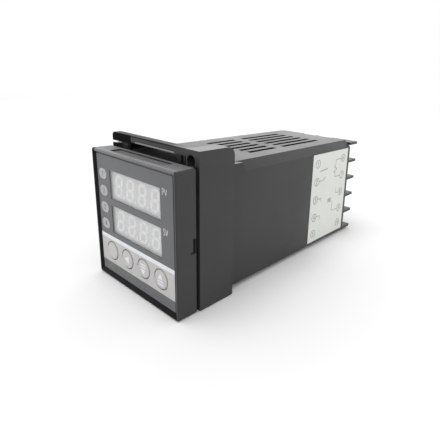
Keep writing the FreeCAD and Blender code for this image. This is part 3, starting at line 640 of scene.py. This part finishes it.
def make_front_print():
    """Everything printed on the front film, a painted highlight ring round each key, and the
    symbols on its keys.
    """
    low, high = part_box("front_film")
    left = low[0] / MM
    right = high[0] / MM
    band = print_ink("band_ink", (0.465, 0.460, 0.455), (0.500, 0.494, 0.488))
    white = print_ink("white_ink", (0.70, 0.71, 0.73), (0.76, 0.77, 0.79))
    pale = print_ink("pale_ink", (0.40, 0.40, 0.41), (0.46, 0.46, 0.47))
    band_outlines = band_with_holes(left, right, BAND_BOTTOM, LINE_BOTTOM)
    flat_piece("band_print", band_outlines, on_film, band, "chassis")
    line = [rectangle(left, right, LINE_BOTTOM, LINE_TOP)]
    flat_piece("line_print", line, on_film, white, "chassis")
    letters = []
    for text, display in (("PV", "upper_display"), ("SV", "lower_display")):
        low_z = center(display)[2] + LETTER_RISE
        letters += text_strokes(text, LETTER_LEFT, low_z, LETTER_WIDTH, LETTER_HEIGHT,
                                LETTER_GAP, LETTER_PEN)
    flat_piece("display_letters", letters, on_film,
               print_ink("letter_ink", (0.50, 0.50, 0.51), (0.58, 0.58, 0.59)),
               "chassis")
    rings = []
    numerals = []
    lens_low, lens_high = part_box("indicator_lenses")
    x = lens_low[0] / MM + INDICATOR_LENGTH / 2
    top_z = lens_high[2] / MM - INDICATOR_HEIGHT / 2
    bottom_z = lens_low[2] / MM + INDICATOR_HEIGHT / 2
    for row in range(INDICATOR_COUNT):
        z = top_z + (bottom_z - top_z) * row / (INDICATOR_COUNT - 1)
        rings += oval_ring(x, z, INDICATOR_LENGTH, INDICATOR_HEIGHT, INDICATOR_PEN)
        numerals += numeral(row + 1, x, z, INDICATOR_NUMERAL_PEN)
    flat_piece("indicator_rings", rings, on_film, pale, "chassis")
    flat_piece("indicator_numerals", numerals, on_film,
               print_ink("numeral_ink", (0.13, 0.13, 0.135), (0.16, 0.16, 0.165)),
               "chassis")
    # A ring paler than the band round each key: a painted highlight on the key edges that also
    # covers the shade in the gap
    outlines = []
    for name in KEYS:
        x, _, z = center(name)
        outlines += ring(x, z, KEY_OUTLINE, KEY_OUTLINE_PEN, KEY_OUTLINE_STEPS)
    flat_piece("key_edge_highlights", outlines, on_film,
               print_ink("key_edge_highlight_ink", (0.49, 0.485, 0.48), (0.53, 0.525, 0.52)),
               "chassis")
    make_key_symbols(white)


def make_key_symbols(white):
    """A left arrow, a down arrow and an up arrow; the first key stays bare."""
    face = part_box("set_key")[0][1]

    def on_key(u, v, w):
        return Vector((u * MM, face - w - PRINT_LIFT * MM, v * MM))

    (shift_x, _, z), (down_x, _, _), (up_x, _, _) = [center(name) for name in KEYS[1:]]
    symbols = {
        "shift": [[(shift_x - 1.5, z), (shift_x + 1.2, z - 1.5), (shift_x + 1.2, z + 1.5)]],
        "down": [[(down_x - 1.3, z - 0.1), (down_x, z - 2.1), (down_x + 1.3, z - 0.1)],
                 rectangle(down_x - 1.5, down_x + 1.5, z + 0.4, z + 0.9),
                 rectangle(down_x - 1.5, down_x + 1.5, z + 1.4, z + 1.9)],
        "up": [[(up_x - 1.3, z + 0.1), (up_x + 1.3, z + 0.1), (up_x, z + 2.1)],
               rectangle(up_x - 1.5, up_x + 1.5, z - 0.9, z - 0.4),
               rectangle(up_x - 1.5, up_x + 1.5, z - 1.9, z - 1.4)],
    }
    for name, outlines in symbols.items():
        flat_piece(name + "_symbol", outlines, on_key, white, name + "_button")


# ---------------------------------------------------------------- side label
def make_label_print():
    """Terminal numbers in rings and plain wiring marks, with no words."""
    ink = print_ink("label_ink", (0.34, 0.34, 0.34), (0.42, 0.42, 0.41), 0.5)
    left, right = LABEL_COLUMNS
    first, second, third, fourth, _ = LABEL_ROWS
    shapes = []
    for row, z in enumerate(LABEL_ROWS):
        shapes += ring(left, z, LABEL_RING, LABEL_RING_PEN)
        shapes += numeral(row + 1, left, z, LABEL_RING_PEN)
        shapes += ring(right, z, LABEL_RING, LABEL_RING_PEN)
        if row < len(LABEL_ROWS) - 1:
            shapes += numeral(row + 6, right, z, LABEL_RING_PEN)
        else:
            shapes += text_strokes("10", right - 1.1, z - NUMERAL_HEIGHT / 2, 0.9,
                                   NUMERAL_HEIGHT, 0.35, 0.35)
    shapes.append(thick_line((69.2, 11.4), (75.4, 11.9), LABEL_BAR_PEN))
    shapes.append(rectangle(77.6, 80.4, -4.6, -2.6))
    paths = (
        [(69.2, second), (72.4, second), (74.2, second + 1.4)],
        [(69.2, third), (71.8, third), (71.8, third - 1.8)],
        [(69.2, fourth), (71.8, fourth), (71.8, fourth - 1.8)],
        [(86.5, fourth), (81.8, fourth), (81.8, fourth + 5.0)],
        [(86.5, third), (84.2, third), (84.2, third + 2.8)],
        [(86.5, first), (82.2, first), (82.2, 12.6), (80.8, 11.9), (83.6, 10.6), (80.8, 9.6),
         (82.2, 9.0), (82.2, second), (86.5, second)],
    )
    for path in paths:
        shapes += strokes(path, LABEL_LINE_PEN)
    flat_piece("label_marks", shapes, on_label, ink, "case")


# ---------------------------------------------------------------- stage
def make_stage():
    """Pale floor under the bezel's lower edge and the rear foot, thinning out far away."""
    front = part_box("front_bezel")[0]
    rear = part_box("case_shell")[0]
    rear_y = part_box("terminal_block")[1][1]
    slope = (rear[2] - front[2]) / (rear_y - front[1])
    level = front[2] - FLOOR_DROP
    n = Nodes("floor_paint")
    n.feed(n.blend(n.ramp(n.noise(3.0), 0, 1), (0.90, 0.905, 0.90), (0.91, 0.915, 0.91)),
           "Base Color")
    n.set("Roughness", 0.6)
    n.set("Specular IOR Level", 0.1)
    distance = n.add("ShaderNodeVectorMath", operation="LENGTH")
    n.link(n.place, distance.inputs[0])
    n.feed(n.ramp(distance.outputs["Value"], 1.0, 0.0, FLOOR_SOLID, FLOOR_END), "Alpha")
    half = FLOOR_END * 1.1
    corners = [(x, y, level + slope * (y - front[1]))
               for x, y in rectangle(-half, half, -half, half)]
    mesh = bpy.data.meshes.new("floor")
    mesh.from_pydata(corners, [], [(0, 1, 2, 3)])
    mesh.materials.append(n.material)
    floor = bpy.data.objects.new("floor", mesh)
    bpy.context.scene.collection.objects.link(floor)


def make_world():
    """White surroundings: plain is their light on the part, seen is how they look."""
    world = bpy.data.worlds.new("studio")
    bpy.context.scene.world = world
    world.use_nodes = True
    tree = world.node_tree
    plain = tree.nodes["Background"]
    plain.inputs["Color"].default_value = (1.0, 1.0, 1.0, 1)
    plain.inputs["Strength"].default_value = 1.0
    seen = tree.nodes.new("ShaderNodeBackground")
    seen.inputs["Color"].default_value = (1.0, 1.0, 1.0, 1)
    seen.inputs["Strength"].default_value = 1.0
    path = tree.nodes.new("ShaderNodeLightPath")
    sight = path.outputs["Is Camera Ray"]
    for name in ("Is Glossy Ray", "Is Transmission Ray"):
        either = tree.nodes.new("ShaderNodeMath")
        either.operation = "MAXIMUM"
        tree.links.new(sight, either.inputs[0])
        tree.links.new(path.outputs[name], either.inputs[1])
        sight = either.outputs[0]
    mix = tree.nodes.new("ShaderNodeMixShader")
    tree.links.new(sight, mix.inputs["Fac"])
    tree.links.new(plain.outputs[0], mix.inputs[1])
    tree.links.new(seen.outputs[0], mix.inputs[2])
    tree.links.new(mix.outputs[0], tree.nodes["World Output"].inputs["Surface"])


def make_lamps():
    """A soft lamp from above and one from behind."""
    for name, place, size, power in LAMPS:
        data = bpy.data.lights.new(name, "AREA")
        data.shape = "DISK"
        data.size = size
        data.energy = power
        lamp = bpy.data.objects.new(name, data)
        lamp.location = place
        aim = Vector(LAMP_TARGET) - Vector(place)
        lamp.rotation_euler = aim.to_track_quat("-Z", "Y").to_euler()
        bpy.context.scene.collection.objects.link(lamp)


def make_camera():
    """Camera looking along its azimuth and elevation, rolled about its line of sight."""
    azimuth = math.radians(CAMERA_AZIMUTH)
    elevation = math.radians(CAMERA_ELEVATION)
    back = Vector((math.sin(azimuth) * math.cos(elevation),
                   -math.cos(azimuth) * math.cos(elevation), math.sin(elevation)))
    right = (-back).cross(Vector((0, 0, 1))).normalized()
    up = back.cross(right)
    roll = math.radians(CAMERA_ROLL)
    turned_right = right * math.cos(roll) + up * math.sin(roll)
    turned_up = up * math.cos(roll) - right * math.sin(roll)
    data = bpy.data.cameras.new("camera")
    data.lens = CAMERA_LENS
    data.sensor_width = CAMERA_SENSOR
    data.shift_x, data.shift_y = CAMERA_SHIFT
    data.clip_start = CAMERA_NEAR
    camera = bpy.data.objects.new("camera", data)
    matrix = Matrix((turned_right, turned_up, back)).transposed().to_4x4()
    camera.matrix_world = Matrix.Translation(CAMERA_POSITION) @ matrix
    bpy.context.scene.collection.objects.link(camera)
    bpy.context.scene.camera = camera


dress_nodes(make_materials())
make_front_print()
make_label_print()
make_stage()
make_world()
make_lamps()
make_camera()
bpy.context.scene.view_settings.view_transform = "Standard"
